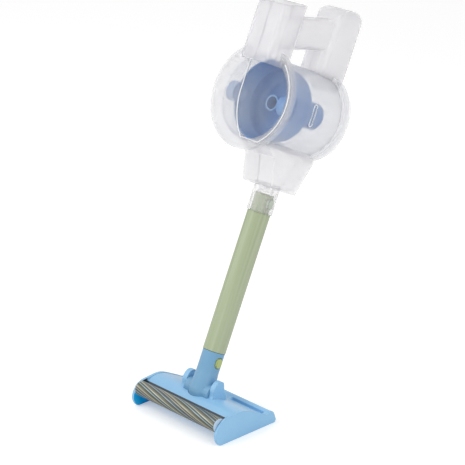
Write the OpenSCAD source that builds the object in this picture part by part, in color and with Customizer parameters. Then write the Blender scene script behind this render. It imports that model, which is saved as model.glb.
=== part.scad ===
// Toy stick vacuum cleaner. Millimetres.
// The floor lies on z = 0, the front of the floor head looks along -Y, and the origin is under the pivot.
// Everything above the pivot is drawn upright, with z along the wand, and then leans back by "lean".

/* [Stance] */
// How far the wand leans back from upright, in degrees
lean = 25; // [0:1:60]
// Furthest that the wand can lean back from upright, in degrees
lean_max = 75; // [66:1:80]
// Height of the tilt pivot above the floor
pivot_z = 38; // [37:0.5:46]
// Distance from the tilt pivot to the axis of the drum, along the wand
drum_h = 400; // [380:1:480]

/* [Wand] */
// Outer diameter of the green tube
wand_d = 32; // [30:0.5:38]
// Diameter of the thinner spigots at both ends of the tube
spigot_d = 26; // [24:0.5:28]
// Wall of the spigots
wand_wall = 2.2; // [1.6:0.1:3]
// Where the bare tube starts, above the pivot
wand_low = 56; // [52:1:70]
// Length of the bare tube between the two sockets
wand_len = 198; // [120:1:204]
// Length of each spigot
spigot_len = 26; // [24:1:28]
// Width of the snap buttons
button_d = 10; // [7:0.5:11]
// How much taller than wide the snap buttons are
button_long = 4; // [1:0.5:5]
// How far a snap button stands proud of its spigot
button_rise = 4; // [3:0.25:5]

/* [Body] */
// Outer radius of the clear drum
drum_r = 58; // [56.5:0.5:60]
// Wall of the clear mouldings
shell_wall = 2; // [1.5:0.1:2.6]
// Radius of the front disc
front_r = 71; // [66:0.5:78]
// Thickness of the front disc
front_t = 9; // [8:0.5:12]
// Distance from the wand axis forward to the back of the front disc
front_d = 77; // [74:0.5:84]
// Radius of the rear disc
rear_r = 62.5; // [59:0.5:68]
// Thickness of the rear disc
rear_t = 13; // [10:0.5:16]
// Distance from the wand axis back to the front of the rear disc
rear_d = 34; // [30:0.5:36]
// Half width of the lower housing
spine_hw = 28; // [25:0.5:30]
// Width of the column
column_w = 60; // [54:1:64]
// Height of the column's top above the drum axis
column_top = 131; // [124:1:150]
// Size of the column from front to back
column_depth = 42; // [34:0.5:46]
// Distance from the wand axis forward to the middle of the column
column_d = 81; // [76:0.5:84]
// Width of the handle
handle_w = 44; // [36:1:50]
// Size of the handle from front to back
handle_depth = 58; // [50:1:64]
// Distance from the wand axis back to the middle of the handle
handle_d = 35; // [31:0.5:38]
// Height of the handle's round top above the drum axis
handle_top = 151; // [145:1:165]
// Width of the bridge between column and handle
bridge_w = 36; // [26:1:38]
// Height of the bridge
bridge_h = 42; // [34:1:44]
// Height of the bridge's upper face above the drum axis, where it crosses the wand axis
bridge_top = 128.5; // [124:0.5:140]
// Slope of the bridge and of the column's top, in degrees
bridge_slope = 12.5; // [8:0.5:14]
// Length of the clear socket below the lower housing
socket_len = 36; // [30:0.5:40]
// Outer diameter of the clear socket
socket_d = 35.5; // [33:0.5:38]

/* [Cup] */
// Outer radius of the blue cup behind its flared mouth
cup_r = 50; // [46:0.5:52]
// Wall of the blue cup
cup_wall = 2.4; // [1.8:0.1:3]
// Distance from the wand axis forward to the mouth of the cup
cup_mouth = 56; // [52:1:60]
// Depth of the cup from its mouth to its rear face
cup_depth = 45; // [44:1:52]
// Radius of the stem behind the cup
stem_r = 18.5; // [15:0.5:22]
// Radius of the ring in the middle of the cup
hub_r = 11; // [7:0.5:12]
// Length of the flare behind the mouth
flare_len = 20; // [10:1:24]
// Radius of the round side bosses
boss_r = 14; // [10:0.5:15]
// Distance from the wand axis forward to the axis of the side bosses
boss_d = 64; // [60:0.5:66]

/* [Floor head] */
// Width of the floor head over its end plates
head_w = 170; // [150:1:220]
// Thickness of the end plates
plate_t = 4; // [3:0.2:10]
// Wall of the head shell
head_wall = 2.4; // [1.8:0.1:3]
// Diameter of the roller
roller_d = 20.8; // [16:0.2:22]
// Height of the roller's axis above the floor
roller_z = 26.5; // [25:0.5:27.5]
// Distance from the pivot forward to the roller's axis
roller_y = 41.5; // [41:0.5:43]
// Diameter of the roller's axle
axle_d = 4; // [3:0.25:5]
// Thickness of the base plate
base_t = 2.4; // [2:0.1:3]

/* [Yoke] */
// Depth of the yoke's two posts in front of the tilt pivot
ear_r = 7; // [6:0.25:9]
// Depth of the posts behind the tilt pivot
ear_back = 12.5; // [8:0.5:14]
// Height of the posts above the tilt pivot
ear_top = 19.5; // [14:0.5:24]
// Thickness of each post
ear_t = 8; // [6:0.5:10]
// Width of the knuckle's barrel between the posts
knuckle_w = 46; // [40:0.5:50]
// Radius of the knuckle's round bottom and of the skirt above it
knuckle_r = 18; // [16:0.5:18.5]
// Radius of the barrel that reaches from the knuckle to the posts
barrel_r = 12; // [9:0.5:14]
// Diameter of the pivot pins
pin_d = 7; // [5:0.25:8]
// Outer diameter of the blue socket that takes the tube
nozzle_d = 31; // [30:0.5:35]

/* [Fits] */
// Radial clearance of turning and sliding fits
run_gap = 0.08; // [0.05:0.01:0.1]
// Gap between fixed neighbours
seat_gap = 0.1; // [0.05:0.05:0.2]
// Gap between parts that move past each other
move_gap = 0.5; // [0.3:0.1:0.8]

/* [Hidden] */
$fn = 96;
BIG = 400;

seam = 0.02;

// Heights on the wand's own axis, from the pivot
wand_top = wand_low + wand_len;
housing_low = wand_top + socket_len;
tube_in_r = spigot_d / 2 - wand_wall;

// The drum and what sits on it
drum_len = front_d + rear_d;
rim_wall = shell_wall + 0.4;
socket_top = housing_low + 6;

module leaning() {
    translate([0, 0, pivot_z]) rotate([-lean, 0, 0]) children();
}

// A cylinder along Y, from y0 to y1
module rod_y(radius, y0, y1) {
    translate([0, y0, 0]) rotate([-90, 0, 0]) cylinder(r = radius, h = y1 - y0);
}

// A cylinder along X, from x0 to x1
module rod_x(radius, x0, x1) {
    translate([x0, 0, 0]) rotate([0, 90, 0]) cylinder(r = radius, h = x1 - x0);
}

// A side outline, drawn as y and z, spread along X
module side_plate(x0, x1) {
    translate([x0, 0, 0]) rotate([90, 0, 90]) linear_extrude(height = x1 - x0) children();
}

module round_rect(w, l, r) {
    square([w - 2 * r, l], center = true);
    square([w, l - 2 * r], center = true);
    for (sx = [-1, 1], sy = [-1, 1])
        translate([sx * (w / 2 - r), sy * (l / 2 - r)]) circle(r = r);
}

// The left half of a body that is the same on both sides, or its mirror image for the right
module half(side) {
    if (side > 0)
        mirror([1, 0, 0]) left_half() children();
    else
        left_half() children();
}

module left_half() {
    intersection() {
        children();
        translate([-BIG - seam, -BIG, 0]) cube([BIG, 2 * BIG, 3 * BIG]);
    }
}

// ---- Column, bridge and handle, drawn smaller by "inset" for their hollows ----

foot_z = drum_h + 46;
column_r = 11;
handle_r = 12;
column_mid_z = drum_h + column_top;

module below_slope(inset) {
    translate([-BIG, -column_d, column_mid_z - inset]) rotate([bridge_slope, 0, 0])
        translate([0, -BIG, -2 * BIG]) cube([2 * BIG, 2 * BIG, 2 * BIG]);
}

module column_form(inset, low) {
    intersection() {
        translate([0, -column_d, low]) linear_extrude(height = BIG)
            round_rect(column_w - 2 * inset, column_depth - 2 * inset, column_r - inset);
        below_slope(inset);
    }
}

module handle_form(inset, low) {
    top_r = handle_depth / 2 - inset;
    top_z = drum_h + handle_top - handle_depth / 2;
    back_y = rear_d + rear_t + 1;
    intersection() {
        translate([0, handle_d, low - 20]) linear_extrude(height = BIG)
            round_rect(handle_w - 2 * inset, handle_depth - 2 * inset, handle_r - inset);
        side_plate(-BIG, BIG) union() {
            translate([handle_d, top_z]) circle(r = top_r);
            polygon([[handle_d - top_r, low], [rear_d - 2, low], [rear_d - 2, low - 8 + inset],
                [back_y, low - 8 + inset], [handle_d + top_r, low + 18], [handle_d + top_r, top_z],
                [handle_d - top_r, top_z]]);
        }
    }
}

module bridge_form(inset) {
    span = column_d + handle_d;
    mid_y = (handle_d - column_d) / 2;
    translate([0, mid_y, drum_h + bridge_top + mid_y * tan(bridge_slope)]) rotate([bridge_slope, 0, 0])
        translate([0, 0, -bridge_h / 2]) rotate([90, 0, 0])
            linear_extrude(height = span / cos(bridge_slope), center = true)
                round_rect(bridge_w - 2 * inset, bridge_h - 2 * inset, 9 - inset);
}

// Room for the drum and the rear disc, and for the front disc below the column
module drum_room(gap) {
    translate([0, 0, drum_h]) {
        rod_y(drum_r + gap, -front_d, rear_d + 1);
        rod_y(rear_r + gap, rear_d - gap, rear_d + rear_t + gap);
    }
}

module front_room(gap) {
    translate([0, 0, drum_h]) rod_y(front_r + gap, -front_d - front_t - gap, -front_d + gap);
}

module frame_shell() {
    difference() {
        union() {
            column_form(0, foot_z);
            handle_form(0, foot_z);
            bridge_form(0);
        }
        column_form(shell_wall, foot_z - 1);
        handle_form(shell_wall, foot_z - 1);
        bridge_form(shell_wall);
        // the column's top is open and takes the cap
        translate([0, -column_d, column_mid_z - 14]) linear_extrude(height = 60)
            round_rect(column_w - 2 * shell_wall, column_depth - 2 * shell_wall, column_r - shell_wall);
        drum_room(seat_gap);
    }
}

module column_and_handle(side) {
    color([0.89, 0.89, 0.92, 0.5]) leaning() half(side) frame_shell();
}

module column_cap() {
    cap_t = 5;
    color([0.83, 0.83, 0.87, 0.6]) leaning() intersection() {
        translate([0, -column_d, column_mid_z - 30]) linear_extrude(height = 60)
            round_rect(column_w - 2 * (shell_wall + seat_gap), column_depth - 2 * (shell_wall + seat_gap),
                column_r - shell_wall - seat_gap);
        below_slope(0);
        translate([-BIG, -column_d, column_mid_z - cap_t]) rotate([bridge_slope, 0, 0])
            translate([0, -BIG, 0]) cube([2 * BIG, 2 * BIG, 2 * BIG]);
    }
}

// ---- Lower housing ----

// Side outline of the lower housing: it narrows from the drum down to the wand
housing_front = 58;
housing_step = 56;
housing_knee = 69;

module housing_outline(inset) {
    low = housing_low + inset;
    top = drum_h - 42;
    polygon([
        [-housing_front + inset, top + inset], [2 - housing_front + inset, drum_h - housing_step],
        [-35 + inset, drum_h - housing_knee + inset / 2],
        [-22 + inset, low], [27 - inset, low], [rear_d + 10 - inset, drum_h - 60],
        [rear_d - 1, top + inset]]);
}

module housing_shell() {
    difference() {
        side_plate(-spine_hw, spine_hw) housing_outline(0);
        side_plate(-spine_hw + shell_wall, spine_hw - shell_wall) housing_outline(shell_wall);
        drum_room(seat_gap);
        front_room(seat_gap);
        translate([0, 0, housing_low - 1]) cylinder(d = socket_d - 3 + 2 * seat_gap, h = 20);
    }
}

module lower_housing(side) {
    color([0.89, 0.89, 0.92, 0.5]) leaning() half(side) housing_shell();
}

// Clear socket, with a flange inside the housing and a stop for the spigot
module wand_socket() {
    bore_r = spigot_d / 2 + run_gap;
    color([0.86, 0.87, 0.9, 0.6]) leaning() difference() {
        union() {
            translate([0, 0, wand_top + move_gap])
                cylinder(d = socket_d, h = socket_len - move_gap - seat_gap);
            translate([0, 0, housing_low - 1]) cylinder(d = socket_d - 3, h = socket_top - housing_low + 1);
            translate([0, 0, housing_low + shell_wall + seat_gap]) cylinder(r = 19.5, h = 2.5);
        }
        translate([0, 0, wand_top - 1]) cylinder(r = bore_r, h = spigot_len + 2);
        translate([0, 0, wand_top]) cylinder(r = tube_in_r, h = BIG);
        button_hole(button_high, run_gap);
    }
}

// ---- Drum, discs and cup ----

// Outline of the smooth window in the front disc, seen from the front: straight on its left, round below
window_left = 20.5;
window_arc = 83.5;
window_low = 56;
window_high = 60;
window_rim = 3.5;

module window_outline(inset) {
    intersection() {
        circle(r = front_r - window_rim - inset);
        union() {
            translate([window_arc - window_left, 5]) circle(r = window_arc - inset);
            translate([inset - window_left, 5]) square([BIG, BIG]);
        }
        translate([-BIG, inset - window_low]) square([2 * BIG, window_low + window_high - 2 * inset]);
    }
}

module front_face(y0, y1) {
    translate([0, y1, drum_h]) rotate([90, 0, 0]) linear_extrude(height = y1 - y0) children();
}

// Notch in the disc and its window for the foot of the column
module column_room() {
    translate([0, -column_d, foot_z - seat_gap]) linear_extrude(height = BIG)
        round_rect(column_w + 2 * seat_gap, column_depth + 2 * seat_gap, column_r + seat_gap);
}

module front_disc() {
    face_y = -front_d - front_t;
    color([0.89, 0.89, 0.91, 0.5]) leaning() difference() {
        union() {
            translate([0, 0, drum_h]) rod_y(front_r, face_y, -front_d);
        }
        translate([0, 0, drum_h]) rod_y(front_r - rim_wall, face_y + shell_wall, -front_d - shell_wall);
        translate([0, 0, drum_h]) rod_y(drum_r - shell_wall, face_y + shell_wall, BIG);
        front_face(face_y - 1, face_y + shell_wall + 1) window_outline(0);
        column_room();
    }
}

// Thin clear window with a raised bead along its edge
module front_window() {
    face_y = -front_d - front_t;
    color([0.8, 0.86, 0.93, 0.35]) leaning() difference() {
        union() {
            front_face(face_y + 0.4, face_y + shell_wall) window_outline(seat_gap);
            front_face(face_y - 0.8, face_y + shell_wall) difference() {
                window_outline(seat_gap);
                window_outline(seat_gap + 1.4);
            }
        }
        column_room();
    }
}

// The drum carries a raised oval bead round a shallow slot on its right side
slot_y = -20;
slot_w = 6.5;
slot_h = 33;
bead = 1;

module drum_tube() {
    color([0.89, 0.89, 0.92, 0.5]) leaning() difference() {
        union() {
            translate([0, 0, drum_h]) rod_y(drum_r, -front_d + seat_gap, rear_d - seat_gap);
            intersection() {
                translate([0, 0, drum_h]) rod_y(drum_r + bead, -front_d + 10, rear_d - 10);
                side_plate(drum_r - 8, drum_r + 8) translate([slot_y, drum_h])
                    round_rect(slot_w, slot_h, slot_w / 2 - 0.02);
            }
        }
        translate([0, 0, drum_h]) rod_y(drum_r - shell_wall, -front_d - 1, rear_d + 1);
        difference() {
            side_plate(drum_r - 8, drum_r + 8) translate([slot_y, drum_h])
                round_rect(slot_w - 2.4, slot_h - 2.4, slot_w / 2 - 1.22);
            translate([0, 0, drum_h]) rod_y(drum_r - 0.8, -front_d, rear_d);
        }
    }
}

module rear_disc() {
    ring_r = stem_r - cup_wall - seat_gap;
    color([0.89, 0.89, 0.91, 0.5]) leaning() translate([0, 0, drum_h]) difference() {
        rod_y(rear_r, rear_d, rear_d + rear_t);
        rod_y(rear_r - rim_wall, rear_d + shell_wall, rear_d + rear_t - shell_wall);
        rod_y(drum_r - shell_wall, rear_d - 1, rear_d + shell_wall + 1);
        rod_y(stem_r + seat_gap, rear_d - 1, rear_d + rear_t - shell_wall);
    }
    // ring that holds the end of the cup's stem
    color([0.89, 0.89, 0.91, 0.5]) leaning() translate([0, 0, drum_h]) difference() {
        rod_y(ring_r, rear_d + rear_t - shell_wall - 4, rear_d + rear_t - shell_wall + 0.5);
        rod_y(ring_r - 2, rear_d, rear_d + rear_t - shell_wall);
    }
}

// Blue cup: a bowl that opens to the front, a ring in its middle and a stem to the rear disc
cup_arc = 14;

lip_r = drum_r - shell_wall - seat_gap;
lip_t = 3;

// Half outline of the bowl: a flared mouth, then straight to a round rear shoulder
module bowl_outline(inset) {
    arc = cup_arc - inset;
    back = cup_depth - cup_mouth - inset;
    radius = cup_r - inset;
    polygon([[0, -cup_mouth], [lip_r - inset, -cup_mouth], [lip_r - inset, lip_t - cup_mouth],
        [radius, lip_t + flare_len - cup_mouth], [radius, back - arc], [0, back - arc]]);
    translate([0, back - arc - 1]) square([radius - arc, arc + 1]);
    translate([radius - arc, back - arc]) circle(r = arc);
}

module cyclone_cup() {
    back_y = cup_depth - cup_mouth;
    end_y = rear_d + rear_t - shell_wall - seat_gap;
    hub_y = back_y - 32;
    color([0.25, 0.42, 0.72, 0.9]) leaning() translate([0, 0, drum_h]) {
        difference() {
            union() {
                rotate([-90, 0, 0]) rotate_extrude() bowl_outline(0);
                rod_y(stem_r, back_y - cup_wall, end_y);
            }
            difference() {
                union() {
                    rotate([-90, 0, 0]) rotate_extrude() bowl_outline(cup_wall);
                    rod_y(lip_r - cup_wall, -cup_mouth - 1, 1 - cup_mouth);
                }
                rod_y(hub_r, hub_y, back_y);
            }
            rod_y(hub_r - 2.4, hub_y - 1, end_y + 1);
            rod_y(stem_r - cup_wall, back_y, end_y + 1);
        }
        // side bosses, which stand out in front of the mouth
        for (side = [-1, 1])
            translate([0, -boss_d, 0]) rod_x(boss_r, side > 0 ? boss_in : -boss_out, side > 0 ? boss_out : -boss_in);
    }
}

boss_out = sqrt(lip_r * lip_r - boss_r * boss_r) - seat_gap;
boss_in = boss_out - 13;

// ---- Wand ----

button_high = wand_top + 15;
button_low = wand_low - 14;

module wand_tube() {
    color([0.72, 0.77, 0.60]) leaning() difference() {
        union() {
            translate([0, 0, wand_low]) cylinder(d = wand_d, h = wand_len);
            translate([0, 0, wand_low - spigot_len]) cylinder(d = spigot_d, h = wand_len + 2 * spigot_len);
        }
        translate([0, 0, wand_low - spigot_len - 1]) cylinder(r = tube_in_r, h = wand_len + 2 * spigot_len + 2);
        translate([0, 0, wand_low + wand_wall]) cylinder(d = wand_d - 2 * wand_wall, h = wand_len - 2 * wand_wall);
        for (z = [button_low, button_high])
            button_hole(z, run_gap);
    }
}

// Front view of a snap button: taller than wide, with round ends
module button_form(grow) {
    round_rect(button_d + button_long + 2 * grow, button_d + 2 * grow, button_d / 2 + grow - 0.01);
}

module button_hole(z, gap) {
    translate([0, 0, z]) rotate([0, 90, 0]) linear_extrude(height = 30) button_form(gap);
}

// Button with a stepped rim and a collar that stops it inside the tube
collar_w = 1.5;
collar_r = button_d / 2 + collar_w;
collar_x = sqrt(tube_in_r * tube_in_r - collar_r * collar_r) - 0.2;
collar_t = 2;

module snap_button(z) {
    rim = 0.7;
    base_x = collar_x - collar_t;
    length = spigot_d / 2 + button_rise - base_x;
    color([0.74, 0.80, 0.55]) leaning() translate([base_x, 0, z]) rotate([0, 90, 0]) {
        linear_extrude(height = collar_t) button_form(collar_w);
        linear_extrude(height = length - rim) button_form(0);
        linear_extrude(height = length) button_form(-rim);
    }
}

// V-shaped leaf spring that pushes a button outwards
module button_spring(z) {
    leaf_t = 0.6;
    front_x = collar_x - collar_t - 0.05;
    back_x = -tube_in_r + 2;
    color([0.7, 0.7, 0.72]) leaning() translate([0, -2.5, z]) rotate([-90, 0, 0]) linear_extrude(height = 5)
        polygon([[front_x, -4], [front_x, 4], [front_x - leaf_t, 4], [front_x - leaf_t, -2.4],
            [back_x + leaf_t, 9], [back_x, 9], [back_x, 8], [front_x - leaf_t, -4]]);
}

// ---- Blue nozzle socket with the knuckle ----

module nozzle_socket() {
    bore_r = spigot_d / 2 + run_gap;
    skirt_h = 27;
    pin_depth = 9;
    color([0.49, 0.68, 0.84]) leaning() difference() {
        union() {
            sphere(r = knuckle_r);
            cylinder(r1 = knuckle_r, r2 = nozzle_d / 2, h = skirt_h);
            rod_x(barrel_r, -knuckle_w / 2, knuckle_w / 2);
            translate([0, 0, skirt_h - 1]) cylinder(d = nozzle_d, h = wand_low - skirt_h + 1 - move_gap);
        }
        translate([0, 0, wand_low - spigot_len - 1]) cylinder(r = bore_r, h = spigot_len + 2);
        translate([0, 0, 6]) cylinder(r = tube_in_r, h = wand_low - spigot_len);
        // wide opening for the lower button
        button_hole(button_low, 1);
        for (side = [-1, 1])
            rod_x(pin_d / 2 + run_gap, side > 0 ? knuckle_w / 2 - pin_depth : -knuckle_w / 2 - 1,
                side > 0 ? knuckle_w / 2 + 1 : -knuckle_w / 2 + pin_depth);
    }
}

ear_in = knuckle_w / 2 + move_gap;
ear_out = ear_in + ear_t;

// Stub pin in blind bores of the post and of the knuckle
pin_end = ear_out - 2;

module pivot_pin(side) {
    color([0.8, 0.81, 0.83]) translate([0, 0, pivot_z])
        rod_x(pin_d / 2, side > 0 ? knuckle_w / 2 - 8 : -pin_end, side > 0 ? pin_end : -knuckle_w / 2 + 8);
}

// ---- Floor head ----

head_in = head_w / 2 - plate_t;
rear_y = 58.5;
base_y = -12;

// A smooth line through the points p, with n steps between each two
function knot(p, i) = p[max(0, min(len(p) - 1, i))];
function bend(p, i, t) = 0.5 * (2 * knot(p, i) + (knot(p, i + 1) - knot(p, i - 1)) * t
    + (2 * knot(p, i - 1) - 5 * knot(p, i) + 4 * knot(p, i + 1) - knot(p, i + 2)) * t * t
    + (3 * knot(p, i) - knot(p, i - 1) - 3 * knot(p, i + 1) + knot(p, i + 2)) * t * t * t);
function smooth_line(p, n = 4) = concat([for (i = [0 : len(p) - 2], k = [0 : n - 1]) bend(p, i, k / n)],
    [p[len(p) - 1]]);

// Top of the hood from its front edge to the rear bead, as y and z
function hood_line(down) = [for (p = smooth_line([[-31, 29], [-28, 32], [-22, 34.6], [-15, 36.3], [-7, 36.6],
    [2, 35], [11, 31.2], [21, 26], [rear_y - 27, 20.6], [rear_y - 21, 17], [rear_y - 17, 15.4], [rear_y - 13, 16],
    [rear_y - 9, 17.6], [rear_y - 5.5, 16.6], [rear_y - 3, 12.5], [rear_y - 1.5, 8]])) [p[0], p[1] - down]];

// Side outline of the hood and of the sloping top, above the base. Its front wall slants back below the roller.
module top_outline(inset) {
    polygon(concat([[base_y + 1.9 * inset, base_t], [-31 + inset, 14 + inset / 2]],
        [for (p = hood_line(inset)) [max(-31 + inset, min(rear_y - 1.5 - inset, p[0])), p[1]]],
        [[rear_y - inset, base_t]]));
}

// Side outline of an end plate: round in front of the axle, flat on the floor
module plate_outline() {
    polygon(concat(smooth_line([[-42.5, 0], [-47.5, 2], [-51, 7.5], [-52.4, 13.5], [-51.4, 19.5], [-47.6, 26.6],
        [-42.5, 31.3], [-37, 34.6], [-31, 35.8], [-24, 36.2]]),
        [for (p = hood_line(-0.6)) if (p[0] > -16) p], [[rear_y, 4], [rear_y - 2, 0]]));
}

// Side outline of a post, from the pivot: round at the front, steep at the back, wider where it meets the hood
ear_line = smooth_line([[-ear_r - 5, -20], [-ear_r - 4, -6], [-ear_r - 0.5, 2], [-ear_r + 1, ear_top - 9],
    [-1.5, ear_top - 3], [4, ear_top], [ear_back - 3, ear_top - 0.6], [ear_back, ear_top - 4],
    [ear_back + 0.5, 3], [ear_back + 4, -7], [ear_back + 5, -20]]);

module ear_form() {
    translate([0, 0, pivot_z])
        for (side = [-1, 1])
            side_plate(side > 0 ? ear_in : -ear_out, side > 0 ? ear_out : -ear_in) polygon(ear_line);
}

groove_y = rear_y - 20.5;
groove_w = 7.5;
groove_z = 12;

// Room that the knuckle, its barrel and the socket sweep, from upright to the furthest lean
module tilt_room() {
    reach = knuckle_r + move_gap;
    translate([0, 0, pivot_z]) {
        sphere(r = reach);
        rod_x(barrel_r + move_gap, -ear_in, ear_in);
        for (angle = [0, lean_max])
            rotate([-angle, 0, 0]) cylinder(r = reach, h = BIG);
        side_plate(-reach, reach)
            polygon([[0, 0], [0, BIG], [BIG, BIG], BIG * [sin(lean_max), cos(lean_max)]]);
    }
}

module head_shell() {
    color([0.53, 0.71, 0.86]) difference() {
        union() {
            side_plate(-head_in - 0.5, head_in + 0.5) top_outline(0);
            for (side = [-1, 1])
                side_plate(side > 0 ? head_in : -head_w / 2, side > 0 ? head_w / 2 : -head_in) plate_outline();
            ear_form();
        }
        difference() {
            side_plate(-head_in, head_in) top_outline(head_wall);
            // walls beside the knuckle's pocket, which carry the posts
            for (side = [-1, 1])
                side_plate(side > 0 ? ear_in : -ear_in - head_wall, side > 0 ? ear_in + head_wall : -ear_in)
                    translate([base_y, base_t + 2]) square([rear_y, pivot_z]);
            for (side = [-1, 1])
                side_plate(side > 0 ? ear_in : -ear_out, side > 0 ? ear_out : -ear_in)
                    translate([-ear_r - 5, base_t + 2]) square([ear_r + ear_back + 10, pivot_z]);
            // floor and walls of the grooves
            side_plate(-head_in, head_in)
                translate([groove_y - head_wall, groove_z - head_wall]) square([groove_w + 2 * head_wall, 20]);
            // posts for the screws
            for (side = [-1, 1], y = screw_y)
                translate([side * screw_x, y, base_t]) cylinder(d = 7, h = 40);
        }
        for (side = [-1, 1], y = screw_y)
            translate([side * screw_x, y, 0]) cylinder(d = screw_d + 2 * run_gap, h = screw_len + 1);
        translate([0, 0, base_t - 5]) side_plate(-head_in, head_in)
            translate([base_y - 4, 0]) square([rear_y - base_y + 2, 5]);
        tilt_room();
        // bores for the pivot pins
        translate([0, 0, pivot_z])
            rod_x(pin_d / 2 + run_gap, -pin_end - seat_gap, pin_end + seat_gap);
        // grooves in front of the rear bead
        for (side = [-1, 1])
            translate([side > 0 ? groove_x : 5 - head_in, groove_y, groove_z])
                cube([head_in - groove_x - 5, groove_w, 20]);
        // blind holes for the roller's axle
        translate([0, -roller_y, roller_z])
            rod_x(axle_d / 2 + run_gap, 1.2 - head_w / 2, head_w / 2 - 1.2);
    }
}

groove_x = 14;
screw_x = head_in - 12;
screw_y = [2, rear_y - 9];
screw_d = 3;
screw_len = 8;

module head_base() {
    color([0.50, 0.68, 0.83]) difference() {
        side_plate(-head_in + seat_gap, head_in - seat_gap)
            translate([base_y, 0]) square([rear_y - 2 - base_y, base_t - seat_gap]);
        for (side = [-1, 1], y = screw_y)
            translate([side * screw_x, y, -1]) cylinder(d = screw_d + 2 * run_gap, h = screw_len);
    }
}

module base_screws() {
    color([0.75, 0.75, 0.77])
        for (side = [-1, 1], y = screw_y)
            translate([side * screw_x, y, 0.6]) cylinder(d = screw_d, h = screw_len);
}

// ---- Roller ----

roller_len = 2 * (head_in - move_gap);
cap_t = 6;

module on_roller_axis() {
    translate([0, -roller_y, roller_z]) children();
}

module roller_tube() {
    color([0.55, 0.50, 0.42]) on_roller_axis() difference() {
        rod_x(roller_d / 2, -roller_len / 2 + 2, roller_len / 2 - 2);
        rod_x(roller_d / 2 - 1.6, -BIG, BIG);
    }
}

module roller_cap(side) {
    outer_x = roller_len / 2;
    plug_r = roller_d / 2 - 1.6 - seat_gap;
    color([0.78, 0.86, 0.93]) on_roller_axis() difference() {
        union() {
            rod_x(roller_d / 2 - 0.4, side > 0 ? outer_x - 2 + seat_gap : -outer_x,
                side > 0 ? outer_x : -outer_x + 2 - seat_gap);
            rod_x(plug_r, side > 0 ? outer_x - cap_t : -outer_x, side > 0 ? outer_x : -outer_x + cap_t);
        }
        rod_x(axle_d / 2 + seat_gap, -BIG, BIG);
    }
}

module roller_axle() {
    color([0.75, 0.76, 0.78]) on_roller_axis() rod_x(axle_d / 2, 1.5 - head_w / 2, head_w / 2 - 1.5);
}

column_and_handle(-1);  // column_and_handle_left
column_and_handle(1);  // column_and_handle_right
lower_housing(-1);  // lower_housing_left
lower_housing(1);  // lower_housing_right
column_cap();
front_disc();
front_window();
drum_tube();
rear_disc();
cyclone_cup();
wand_socket();
wand_tube();
snap_button(button_high);  // upper_snap_button
button_spring(button_high);  // upper_button_spring
snap_button(button_low);  // lower_snap_button
button_spring(button_low);  // lower_button_spring
nozzle_socket();
pivot_pin(-1);  // pivot_pin_left
pivot_pin(1);  // pivot_pin_right
head_shell();
head_base();
roller_tube();
roller_cap(-1);  // roller_cap_left
roller_cap(1);  // roller_cap_right
roller_axle();
base_screws();
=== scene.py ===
# %% [markdown]
# # A toy stick vacuum cleaner
# The solids come ready made from the CAD model, in metres and in their true places. This file gives
# them their plastics and metals, adds two bright beads that are easier to make here than in CAD,
# and sets the camera, the floor and the light. First the imported model is loaded.

# %% Load the imported model
import bpy, math
from mathutils import Vector, Matrix


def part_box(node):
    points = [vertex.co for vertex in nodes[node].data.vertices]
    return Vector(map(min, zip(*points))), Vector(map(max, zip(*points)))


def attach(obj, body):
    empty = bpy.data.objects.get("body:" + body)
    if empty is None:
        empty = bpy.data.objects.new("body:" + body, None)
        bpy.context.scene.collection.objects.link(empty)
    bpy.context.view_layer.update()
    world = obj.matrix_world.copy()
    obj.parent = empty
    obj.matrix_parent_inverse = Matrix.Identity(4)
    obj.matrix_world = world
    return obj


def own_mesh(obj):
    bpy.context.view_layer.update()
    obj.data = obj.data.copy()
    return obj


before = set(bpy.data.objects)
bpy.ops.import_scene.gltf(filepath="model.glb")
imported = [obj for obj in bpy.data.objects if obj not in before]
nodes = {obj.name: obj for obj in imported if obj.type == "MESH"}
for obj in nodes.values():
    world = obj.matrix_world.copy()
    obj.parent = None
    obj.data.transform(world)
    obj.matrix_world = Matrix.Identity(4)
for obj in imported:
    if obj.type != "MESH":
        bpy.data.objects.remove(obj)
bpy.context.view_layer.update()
scene = bpy.context.scene
print("nodes:", len(nodes))

# %% [markdown]
# ## Camera
# The toy is seen from the front, from its +X side and a little above. A long lens keeps the discs
# of the drum nearly true ellipses. The camera looks along one fixed direction, given by an azimuth
# and an elevation. Its place follows from three lengths: how far it stands back, and how far it is
# shifted to the right and up so that the toy sits in the middle of the picture.

# %% Camera
azimuth, elevation = math.radians(46.56), math.radians(21.41)
lens, sensor = 153.47, 36.0                          # millimetres
shift_right, shift_up, distance = 0.0421, 0.2492, 2.7144     # metres
clip_near, clip_far = 0.1, 50

toward_camera = Vector((math.sin(azimuth) * math.cos(elevation),
                        -math.cos(azimuth) * math.cos(elevation), math.sin(elevation)))
picture_right = Vector((math.cos(azimuth), math.sin(azimuth), 0))
picture_up = toward_camera.cross(picture_right)

camera_data = bpy.data.cameras.new("camera")
camera_data.lens, camera_data.sensor_width = lens, sensor
camera_data.clip_start, camera_data.clip_end = clip_near, clip_far
camera = bpy.data.objects.new("camera", camera_data)
camera.location = picture_right * shift_right + picture_up * shift_up + toward_camera * distance
camera.rotation_mode = "QUATERNION"
axes = Matrix((picture_right, picture_up, toward_camera)).transposed()
camera.rotation_quaternion = axes.to_quaternion()
scene.collection.objects.link(camera)
scene.camera = camera
print("camera at", [round(v, 3) for v in camera.location])

# %% [markdown]
# ## The leaning wand
# Everything above the tilt pivot leans back by the same angle. The tube's streaks and the beads on
# the drum are easier to give in the wand's own frame: across, depth, and height above the pivot.
# One function turns such a place into the frame that the solids use.

# %% Wand frame
lean = math.radians(25)
pivot_height = 0.038
drum_height = 0.400        # of the drum's axis, above the pivot

def wand_point(across, depth, height):
    return Vector((across, depth * math.cos(lean) + height * math.sin(lean),
                   pivot_height - depth * math.sin(lean) + height * math.cos(lean)))

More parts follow.
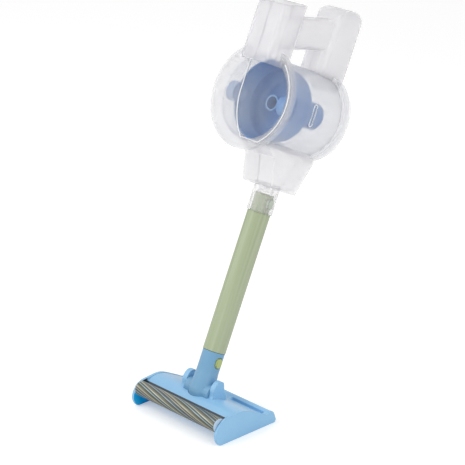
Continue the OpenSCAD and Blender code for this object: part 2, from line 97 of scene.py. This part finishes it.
print("drum axis at", [round(v, 3) for v in wand_point(0, 0, drum_height)])

# %% [markdown]
# ## Helpers for shader graphs
# Every finish is a small graph of shader nodes. The helper "put" adds a node, sets its plain values
# and wires its inputs, so that each material reads as a short list. An input can be a value or
# another node's output.

# %% Shader helpers
def wire(tree, value, socket):
    if isinstance(value, bpy.types.NodeSocket):
        tree.links.new(value, socket)
    else:
        socket.default_value = value

def put(tree, kind, inputs=None, **settings):
    node = tree.nodes.new(kind)
    for key, value in settings.items():
        setattr(node, key, value)
    for key, value in (inputs or {}).items():
        wire(tree, value, node.inputs[key])
    return node

def calculate(tree, operation, *values):
    inputs = dict(enumerate(values))
    return put(tree, "ShaderNodeMath", inputs, operation=operation).outputs[0]

def blend(tree, factor, first, second):
    # the colour sockets come after the float and vector ones, so they are picked by type
    node = put(tree, "ShaderNodeMix", data_type="RGBA")
    colour_in = [socket for socket in node.inputs if socket.type == "RGBA"]
    wire(tree, factor, node.inputs["Factor"])
    wire(tree, first, colour_in[0])
    wire(tree, second, colour_in[1])
    return [socket for socket in node.outputs if socket.type == "RGBA"][0]

print("graph helpers ready")

# %% [markdown]
# ## Helpers for groups and materials
# A node group is a graph with its own inputs and outputs, shared by many materials. A material
# starts empty, ends in a surface, and is given to the solids that it dresses.

# %% Group and material helpers
def new_group(name, sockets_in, sockets_out):
    group = bpy.data.node_groups.new(name, "ShaderNodeTree")
    for label, kind, value in sockets_in:
        socket = group.interface.new_socket(label, in_out="INPUT", socket_type=kind)
        socket.default_value = value
    for label, kind in sockets_out:
        group.interface.new_socket(label, in_out="OUTPUT", socket_type=kind)
    return group, group.nodes.new("NodeGroupInput"), group.nodes.new("NodeGroupOutput")

def new_material(name):
    material = bpy.data.materials.new(name)
    material.use_nodes = True
    material.node_tree.nodes.clear()
    return material, material.node_tree

def finish_material(tree, shader):
    put(tree, "ShaderNodeOutputMaterial", {"Surface": shader.outputs[0]})

def dress(material, *names):
    for name in names:
        mesh = nodes[name].data
        mesh.materials.clear()
        mesh.materials.append(material)
    print(material.name, "on", ", ".join(names))

print("material helpers ready")

# %% [markdown]
# ## What moulded plastic shares
# Every moulding has slightly uneven colour, a gloss that is duller here and there from handling,
# and a faint waviness. Its edges are never knife sharp. One node group gives all of that, and each
# plastic sets its own amounts.

# %% Group: moulded surface
grain_scale = 900.0
edge_radius = 0.0009
wave_height = 0.001

def moulded_surface():
    group, given, result = new_group("moulded_surface",
        [("Color", "NodeSocketColor", (0.8, 0.8, 0.8, 1)),
         ("Shade", "NodeSocketColor", (0.7, 0.7, 0.7, 1)),
         ("Scale", "NodeSocketFloat", 30.0), ("Roughness", "NodeSocketFloat", 0.3),
         ("Wear", "NodeSocketFloat", 0.1), ("Waviness", "NodeSocketFloat", 0.1)],
        [("Color", "NodeSocketColor"), ("Roughness", "NodeSocketFloat"),
         ("Normal", "NodeSocketVector")])
    where = put(group, "ShaderNodeTexCoord").outputs["Object"]
    broad = put(group, "ShaderNodeTexNoise",
                {"Vector": where, "Scale": given.outputs["Scale"], "Detail": 2.0}).outputs["Fac"]
    fine = put(group, "ShaderNodeTexNoise",
               {"Vector": where, "Scale": grain_scale, "Detail": 3.0}).outputs["Fac"]
    patch = put(group, "ShaderNodeMapRange", {"Value": broad, "From Min": 0.35, "From Max": 0.65})
    mixed = blend(group, patch.outputs["Result"], given.outputs["Color"], given.outputs["Shade"])
    dull = calculate(group, "MULTIPLY", fine, given.outputs["Wear"])
    rough = calculate(group, "ADD", dull, given.outputs["Roughness"])
    soft_edge = put(group, "ShaderNodeBevel", {"Radius": edge_radius}, samples=4)
    wavy = put(group, "ShaderNodeBump",
               {"Strength": given.outputs["Waviness"], "Distance": wave_height,
                "Height": broad, "Normal": soft_edge.outputs[0]})
    wire(group, mixed, result.inputs["Color"])
    wire(group, rough, result.inputs["Roughness"])
    wire(group, wavy.outputs[0], result.inputs["Normal"])
    return group

moulded = moulded_surface()
print("group:", moulded.name)

# %% [markdown]
# ## Painted shade in the roller bay
# The bay behind the roller lies in shade, and that shade is painted into the head's colour as a
# deeper, more saturated blue. A mask finds that bay from object coordinates: between the end plates
# and in front of the hood's upper edge. A second mask finds the gap along the hood's upper edge
# just behind the roller, which gets a dark painted shadow.

# %% Group: painted shade masks of the roller bay
# the bay between these edges gets painted shade
bay_half_width = 0.0813
bay_back = -0.0102
bay_top = 0.0285
# back edge of the dark painted shadow in the gap behind the roller
gap_shadow_back = -0.0272

def painted_bay_shade_masks():
    group, _, result = new_group("painted_bay_shade", [],
        [("Inside", "NodeSocketFloat"), ("Strip", "NodeSocketFloat")])
    where = put(group, "ShaderNodeTexCoord").outputs["Object"]
    spot = put(group, "ShaderNodeSeparateXYZ", {0: where}).outputs
    across = calculate(group, "ABSOLUTE", spot["X"])
    between = calculate(group, "LESS_THAN", across, bay_half_width)
    forward = calculate(group, "LESS_THAN", spot["Y"], bay_back)
    below = calculate(group, "LESS_THAN", spot["Z"], bay_top)
    bay_side = calculate(group, "MULTIPLY", between, forward)
    wire(group, calculate(group, "MULTIPLY", bay_side, below), result.inputs["Inside"])
    front_edge = calculate(group, "LESS_THAN", spot["Y"], gap_shadow_back)
    above = calculate(group, "GREATER_THAN", spot["Z"], bay_top)
    edge_top = calculate(group, "MULTIPLY", front_edge, above)
    wire(group, calculate(group, "MULTIPLY", edge_top, between), result.inputs["Strip"])
    return group

painted_bay_shade = painted_bay_shade_masks()
print("group:", painted_bay_shade.name)

# %% [markdown]
# ## What the plastics share in their own graphs
# Each plastic starts with the moulded surface, which "add_skin" adds and sets, and ends in a
# Principled shader, which "finish_plastic" wires to it. Whatever one plastic has of its own, such
# as a coat, an index or a painted colour, is passed on to the shader as one more setting.

# %% Plastic helpers
def add_skin(tree, colour, shade, scale, roughness, wear, waviness=0.05):
    return put(tree, "ShaderNodeGroup",
               {"Color": colour, "Shade": shade, "Scale": scale, "Roughness": roughness,
                "Wear": wear, "Waviness": waviness}, node_tree=moulded)

def finish_plastic(tree, skin, settings):
    inputs = {"Base Color": skin.outputs["Color"], "Roughness": skin.outputs["Roughness"],
              "Normal": skin.outputs["Normal"]}
    inputs.update(settings)
    finish_material(tree, put(tree, "ShaderNodeBsdfPrincipled", inputs))

print("plastic helpers ready")

# %% [markdown]
# ## Opaque mouldings
# The floor head, the nozzle socket, the snap buttons and the roller's end caps are solid coloured
# plastic with a soft gloss. The head also gets painted shade from the two masks of the roller bay:
# a deeper blue in the bay and a dark painted shadow in the gap behind the roller.

# %% Opaque plastics
# colour of the dark painted shadow in the gap behind the roller
painted_gap_shadow_colour = (0.03, 0.04, 0.05, 1)

def moulded_plastic(name, colour, shade, scale=60, roughness=0.3, wear=0.1, coat=0.0, painted_bay_shade_colour=None):
    material, tree = new_material(name)
    skin = add_skin(tree, (*colour, 1), (*shade, 1), scale, roughness, wear)
    paint = skin.outputs["Color"]
    if painted_bay_shade_colour:
        masks = put(tree, "ShaderNodeGroup", node_tree=painted_bay_shade)
        # painted shade: a deeper blue in the roller bay
        paint = blend(tree, masks.outputs["Inside"], paint, (*painted_bay_shade_colour, 1))
        # painted shadow in the gap behind the roller
        paint = blend(tree, masks.outputs["Strip"], paint, painted_gap_shadow_colour)
    finish_plastic(tree, skin, {"Base Color": paint, "Coat Weight": coat, "IOR": 1.46})
    return material

# the head's deep bay colour is painted shade
dress(moulded_plastic("light_blue_head", (0.28, 0.55, 0.82), (0.31, 0.59, 0.86), scale=14,
                      roughness=0.28, wear=0.06, coat=0.2, painted_bay_shade_colour=(0.0, 0.50, 1.0)),
      "head_shell", "head_base")
dress(moulded_plastic("light_blue_socket", (0.18, 0.39, 0.60), (0.21, 0.43, 0.64), scale=18,
                      roughness=0.26, wear=0.06, coat=0.2), "nozzle_socket")
dress(moulded_plastic("pale_green_button", (0.52, 0.58, 0.50), (0.56, 0.61, 0.53)),
      "upper_snap_button")
dress(moulded_plastic("yellow_green_button", (0.52, 0.60, 0.25), (0.48, 0.57, 0.22)),
      "lower_snap_button")
dress(moulded_plastic("pale_blue_end", (0.55, 0.70, 0.84), (0.50, 0.66, 0.82)),
      "roller_cap_left", "roller_cap_right")

# %% [markdown]
# ## The green tube
# The tube was drawn out lengthwise when it was made, so it shows faint streaks along its length.
# Object coordinates are turned into the tube's own frame, which leans back. A noise that changes
# fast across the tube and slowly along it makes the streaks.

# %% Tube material
streaks_across, streaks_along = 160, 3

def streaked_tube():
    material, tree = new_material("olive_tube")
    where = put(tree, "ShaderNodeTexCoord").outputs["Object"]
    turned = put(tree, "ShaderNodeMapping", {"Vector": where, "Rotation": (lean, 0, 0)})
    stretched = put(tree, "ShaderNodeMapping",
                    {"Vector": turned.outputs[0],
                     "Scale": (streaks_across, streaks_across, streaks_along)})
    streak = put(tree, "ShaderNodeTexNoise",
                 {"Vector": stretched.outputs[0], "Scale": 1.0, "Detail": 2.0})
    ramp = put(tree, "ShaderNodeValToRGB", {"Fac": streak.outputs["Fac"]})
    dark, light = ramp.color_ramp.elements
    dark.position, dark.color = 0.3, (0.35, 0.42, 0.25, 1)
    light.position, light.color = 0.7, (0.485, 0.54, 0.375, 1)
    green = ramp.outputs[0]
    skin = add_skin(tree, green, green, scale=20.0, roughness=0.42, wear=0.1, waviness=0.04)
    finish_plastic(tree, skin, {})
    return material

dress(streaked_tube(), "wand_tube")

# %% [markdown]
# ## The clear body
# Frosted clear plastic scatters a little light in every wall, so it looks like a pale lavender haze
# that adds up where walls overlap, and that is denser where a wall is seen edge on. The real walls
# are there in the model, so each wall only needs a thin veil: a pale glossy plastic with a low
# alpha that rises with Layer Weight at the edges. Light also spreads inside the thin wall, so its
# shaded side stays bright.

# %% Clear plastics
def veil_plastic(name, colour, shade, clear, dense, roughness):
    material, tree = new_material(name)
    skin = add_skin(tree, (*colour, 1), (*shade, 1), 22.0, roughness, wear=0.08)
    edge = put(tree, "ShaderNodeLayerWeight", {"Blend": 0.35})
    veil = put(tree, "ShaderNodeMapRange",
               {"Value": edge.outputs["Facing"], "From Min": 0.1, "From Max": 0.95,
                "To Min": clear, "To Max": dense})
    finish_plastic(tree, skin, {"Alpha": veil.outputs["Result"], "Subsurface Weight": 0.8,
                                "Subsurface Radius": (1.0, 1.0, 1.0), "Subsurface Scale": 0.02})
    return material

dress(veil_plastic("frosted_shell", (0.845, 0.825, 0.87), (0.875, 0.86, 0.90), 0.21, 0.59, 0.25),
      "column_and_handle_left", "column_and_handle_right", "column_cap")
dress(veil_plastic("frosted_housing", (0.90, 0.88, 0.92), (0.92, 0.90, 0.94), 0.17, 0.52, 0.25),
      "lower_housing_left", "lower_housing_right", "wand_socket")
dress(veil_plastic("frosted_drum", (0.75, 0.75, 0.79), (0.79, 0.79, 0.83), 0.13, 0.55, 0.22),
      "front_disc", "drum_tube", "rear_disc")
dress(veil_plastic("smooth_window", (0.80, 0.85, 0.92), (0.84, 0.88, 0.92), 0.03, 0.6, 0.1),
      "front_window")

# %% [markdown]
# ## The blue cup
# The cup is a deeper blue. Near a place beside the round boss on the -X side its inner wall is
# painted paler, as a painted highlight where light falls into the cup, and the colour stays deep
# elsewhere. The distance to the place makes the mask.

# %% Blue cup
# centre and reach of the painted highlight on the cup's inner wall
painted_highlight_centre = (-0.044, 0.113, 0.412)
painted_highlight_full_within, painted_highlight_gone_beyond = 0.012, 0.052

def cup_with_painted_highlight():
    material, tree = new_material("deep_blue_cup")
    skin = add_skin(tree, (0.07, 0.23, 0.56, 1), (0.15, 0.33, 0.64, 1), 26.0, 0.22, wear=0.08)
    where = put(tree, "ShaderNodeTexCoord").outputs["Object"]
    away = put(tree, "ShaderNodeVectorMath", {0: where, 1: painted_highlight_centre}, operation="DISTANCE")
    painted_highlight = put(tree, "ShaderNodeMapRange",
               {"Value": away.outputs["Value"], "From Min": painted_highlight_full_within, "From Max": painted_highlight_gone_beyond,
                "To Min": 0.95, "To Max": 0.0})
    # painted highlight: paler blue near that place
    paint = blend(tree, painted_highlight.outputs["Result"], skin.outputs["Color"], (0.62, 0.70, 0.80, 1))
    finish_plastic(tree, skin, {"Base Color": paint, "Coat Weight": 0.3})
    return material

dress(cup_with_painted_highlight(), "cyclone_cup")

# %% [markdown]
# ## Raised beads with a painted highlight
# Two thin raised lines run one along the smooth window of the front disc, and one round the shallow
# slot on the drum's +X side. Their opaque near white colour is a painted highlight. Each is a round
# bead along a line of points in the wand's own frame. It rides on the wand's body, so it leans with
# it.

# %% Beads
bead_radius = 0.0008
# near white: a painted highlight along each raised bead
painted_highlight_bead = moulded_plastic("painted_highlight_bead", (0.86, 0.88, 0.89), (0.92, 0.93, 0.94),
                              roughness=0.2, coat=0.4)

def bead(name, points, closed=True):
    data = bpy.data.curves.new(name, "CURVE")
    data.dimensions, data.bevel_depth, data.bevel_resolution = "3D", bead_radius, 2
    spline = data.splines.new("POLY")
    spline.points.add(len(points) - 1)
    for knot, point in zip(spline.points, points):
        knot.co = (*point, 1)
    spline.use_cyclic_u = closed
    piece = bpy.data.objects.new(name, data)
    scene.collection.objects.link(piece)
    data.materials.append(painted_highlight_bead)
    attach(piece, "wand")
    print("bead:", name, "with", len(points), "points")

# %% [markdown]
# ## Bead along the window
# The window's left edge is a large arc. Below and on the right its edge follows the disc's rim. The
# bead starts at the top left, goes down the arc and comes up along the rim, and its top stays open.

# %% Window bead
window_left, window_high, window_low = -0.0205, 0.052, -0.056
arc_radius, arc_height, arc_steps = 0.0835, 0.005, 24
rim_radius, rim_steps = 0.0675, 40
face_depth = -0.0866        # just in front of the disc's face
shrink = 0.985              # keeps the bead inside the window's edge

outline = [(window_left, window_high)]
for step in range(arc_steps + 1):
    height = arc_height + (window_low - arc_height) * step / arc_steps
    reach = math.sqrt(arc_radius ** 2 - (height - arc_height) ** 2)
    outline.append((arc_radius + window_left - reach, height))
first, last = math.asin(window_low / rim_radius), math.asin(window_high / rim_radius)
for step in range(rim_steps + 1):
    angle = first + (last - first) * step / rim_steps
    outline.append((rim_radius * math.cos(angle), rim_radius * math.sin(angle)))
bead("window_bead", [wand_point(x * shrink, face_depth, drum_height + z * shrink)
                     for x, z in outline], closed=False)

# %% [markdown]
# ## Bead round the slot
# The slot is an upright oval: two half circles joined by straight sides. It is wrapped onto the
# drum, so its points lie on a cylinder that is a little larger than the drum.

# %% Slot bead
bead_cylinder = 0.0586
slot_depth, slot_half_width, slot_half_height, slot_steps = -0.020, 0.0028, 0.0150, 48

loop = []
for step in range(slot_steps):
    angle = 2 * math.pi * step / slot_steps
    side_height = math.copysign(slot_half_height - slot_half_width, math.sin(angle))
    loop.append((slot_depth + slot_half_width * math.cos(angle),
                 slot_half_width * math.sin(angle) + side_height))
bead("slot_bead", [wand_point(math.sqrt(bead_cylinder ** 2 - z ** 2), y, drum_height + z)
                   for y, z in loop])

# %% [markdown]
# ## Steel parts
# Pins, axle, springs and screws are plain steel. Fine scratches run round those that lie along X,
# so a noise that changes fastest along X feeds the roughness and the tone.

# %% Steel
scratches = (2000, 300, 300)

def plain_steel():
    material, tree = new_material("plain_steel")
    where = put(tree, "ShaderNodeTexCoord").outputs["Object"]
    brushed = put(tree, "ShaderNodeMapping", {"Vector": where, "Scale": scratches})
    scratch = put(tree, "ShaderNodeTexNoise",
                  {"Vector": brushed.outputs[0], "Scale": 1.0, "Detail": 3.0}).outputs["Fac"]
    rough = put(tree, "ShaderNodeMapRange", {"Value": scratch, "To Min": 0.22, "To Max": 0.5})
    tone = put(tree, "ShaderNodeValToRGB", {"Fac": scratch})
    dark, light = tone.color_ramp.elements
    dark.color, light.color = (0.46, 0.47, 0.49, 1), (0.66, 0.67, 0.69, 1)
    finish_material(tree, put(tree, "ShaderNodeBsdfPrincipled",
                              {"Base Color": tone.outputs[0], "Metallic": 1.0,
                               "Roughness": rough.outputs[0]}))
    return material

dress(plain_steel(), "upper_button_spring", "lower_button_spring", "pivot_pin_left",
      "pivot_pin_right", "roller_axle", "base_screws")

# %% [markdown]
# ## The springs
# Each button's spring gets its own copy of its mesh.

# %% Springs
for place in ("upper", "lower"):
    spring = nodes[f"{place}_button_spring"]
    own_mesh(spring)

# %% [markdown]
# ## The striped roller
# A shiny foil with spiral stripes is wrapped round the roller. The angle round the axle and the
# place along it are added to one phase, and a colour ramp that repeats over the phase makes the
# stripes. The twist is in turns per metre, so a stripe goes about half way round the roller from
# one end to the other.

# %% Roller foil
twist = -3.4
repeats = 3.0
stripes = ((0.0, (0.04, 0.05, 0.06)), (0.07, (0.16, 0.15, 0.11)), (0.11, (0.52, 0.50, 0.44)),
           (0.14, (0.07, 0.09, 0.09)), (0.26, (0.10, 0.14, 0.15)), (0.30, (0.50, 0.54, 0.56)),
           (0.33, (0.05, 0.08, 0.09)), (0.42, (0.14, 0.14, 0.10)), (0.52, (0.24, 0.25, 0.19)),
           (0.56, (0.68, 0.68, 0.58)), (0.59, (0.11, 0.12, 0.10)), (0.66, (0.06, 0.11, 0.12)),
           (0.72, (0.46, 0.54, 0.54)), (0.75, (0.04, 0.06, 0.06)), (0.88, (0.18, 0.17, 0.11)),
           (0.94, (0.40, 0.40, 0.32)))

def striped_foil():
    material, tree = new_material("striped_foil")
    low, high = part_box("roller_tube")
    middle = tuple((a + b) / 2 for a, b in zip(low, high))
    where = put(tree, "ShaderNodeTexCoord").outputs["Object"]
    centred = put(tree, "ShaderNodeVectorMath", {0: where, 1: middle}, operation="SUBTRACT")
    parts = put(tree, "ShaderNodeSeparateXYZ", {0: centred.outputs[0]}).outputs
    angle = calculate(tree, "ARCTAN2", parts["Z"], parts["Y"])
    turns = calculate(tree, "MULTIPLY", angle, 1 / (2 * math.pi))
    along = calculate(tree, "MULTIPLY", parts["X"], twist)
    phase = calculate(tree, "MULTIPLY", calculate(tree, "ADD", turns, along), repeats)
    ramp = put(tree, "ShaderNodeValToRGB", {"Fac": calculate(tree, "FRACT", phase)})
    elements = ramp.color_ramp.elements
    while len(elements) < len(stripes):
        elements.new(0.5)
    for element, (place, colour) in zip(elements, stripes):
        element.position, element.color = place, (*colour, 1)
    grain = put(tree, "ShaderNodeTexNoise", {"Vector": where, "Scale": 700.0, "Detail": 2.0})
    rough = put(tree, "ShaderNodeMapRange",
                {"Value": grain.outputs["Fac"], "To Min": 0.25, "To Max": 0.45})
    finish_material(tree, put(tree, "ShaderNodeBsdfPrincipled",
                              {"Base Color": ramp.outputs[0], "Metallic": 0.35,
                               "Roughness": rough.outputs[0]}))
    return material

dress(striped_foil(), "roller_tube")

# %% [markdown]
# ## Floor
# The toy stands on a white floor. It is a plain diffuse white that gets a little extra brightness
# for camera rays only, so that it reads as paper white and still shows a soft shadow.

# %% Floor
floor_size, floor_lift = 12, 0.33

bpy.ops.mesh.primitive_plane_add(size=floor_size, location=(0, 0, 0))
floor = bpy.context.object
floor.name = "studio_floor"
floor_white, tree = new_material("floor_white")
rays = put(tree, "ShaderNodeLightPath")
plain = put(tree, "ShaderNodeBsdfDiffuse", {"Color": (0.9, 0.9, 0.9, 1)})
lift = put(tree, "ShaderNodeEmission", {"Color": (1, 1, 1, 1), "Strength": floor_lift})
lifted = put(tree, "ShaderNodeAddShader", {0: plain.outputs[0], 1: lift.outputs[0]})
seen = put(tree, "ShaderNodeMixShader",
           {0: rays.outputs["Is Camera Ray"], 1: plain.outputs[0], 2: lifted.outputs[0]})
finish_material(tree, seen)
floor.data.materials.append(floor_white)
print("floor:", floor.name)

# %% [markdown]
# ## World
# The room is white all round. It is full white where it is seen, mirrored or looked at through
# clear plastic, and dimmer as a light, so that the lamps can still shape the toy.

# %% World
room_light, room_seen = 0.65, 1.0

world = bpy.data.worlds.new("white_room")
scene.world = world
world.use_nodes = True
tree = world.node_tree
tree.nodes.clear()
rays = put(tree, "ShaderNodeLightPath").outputs
direct = calculate(tree, "MAXIMUM", rays["Is Camera Ray"], rays["Is Glossy Ray"])
any_seen = calculate(tree, "MAXIMUM", direct, rays["Is Transmission Ray"])
level = put(tree, "ShaderNodeMapRange",
            {"Value": any_seen, "To Min": room_light, "To Max": room_seen})
sky = put(tree, "ShaderNodeBackground", {"Color": (1, 1, 1, 1), "Strength": level.outputs[0]})
put(tree, "ShaderNodeOutputWorld", {"Surface": sky.outputs[0]})
print("world:", world.name)

# %% [markdown]
# ## Lamps
# A big soft lamp from the picture's upper left gives the shading, and a weaker one from its right
# keeps the shaded sides open.

# %% Lamps
aim = Vector((0, 0.1, 0.25))

def soft_lamp(name, place, size, power):
    data = bpy.data.lights.new(name, "AREA")
    data.shape, data.size, data.energy = "DISK", size, power
    lamp = bpy.data.objects.new(name, data)
    lamp.location = place
    lamp.rotation_mode = "QUATERNION"
    lamp.rotation_quaternion = (aim - Vector(place)).to_track_quat("-Z", "Y")
    scene.collection.objects.link(lamp)
    print("lamp:", name, power, "W")

soft_lamp("key_lamp", (-0.9, -1.6, 1.9), 1.4, 20)
soft_lamp("side_lamp", (1.9, -0.3, 1.2), 1.2, 9)

# %% [markdown]
# ## Last step
# The colour management is plain, so a colour renders about as it is written.

# %% Finish
scene.view_settings.view_transform = "Standard"
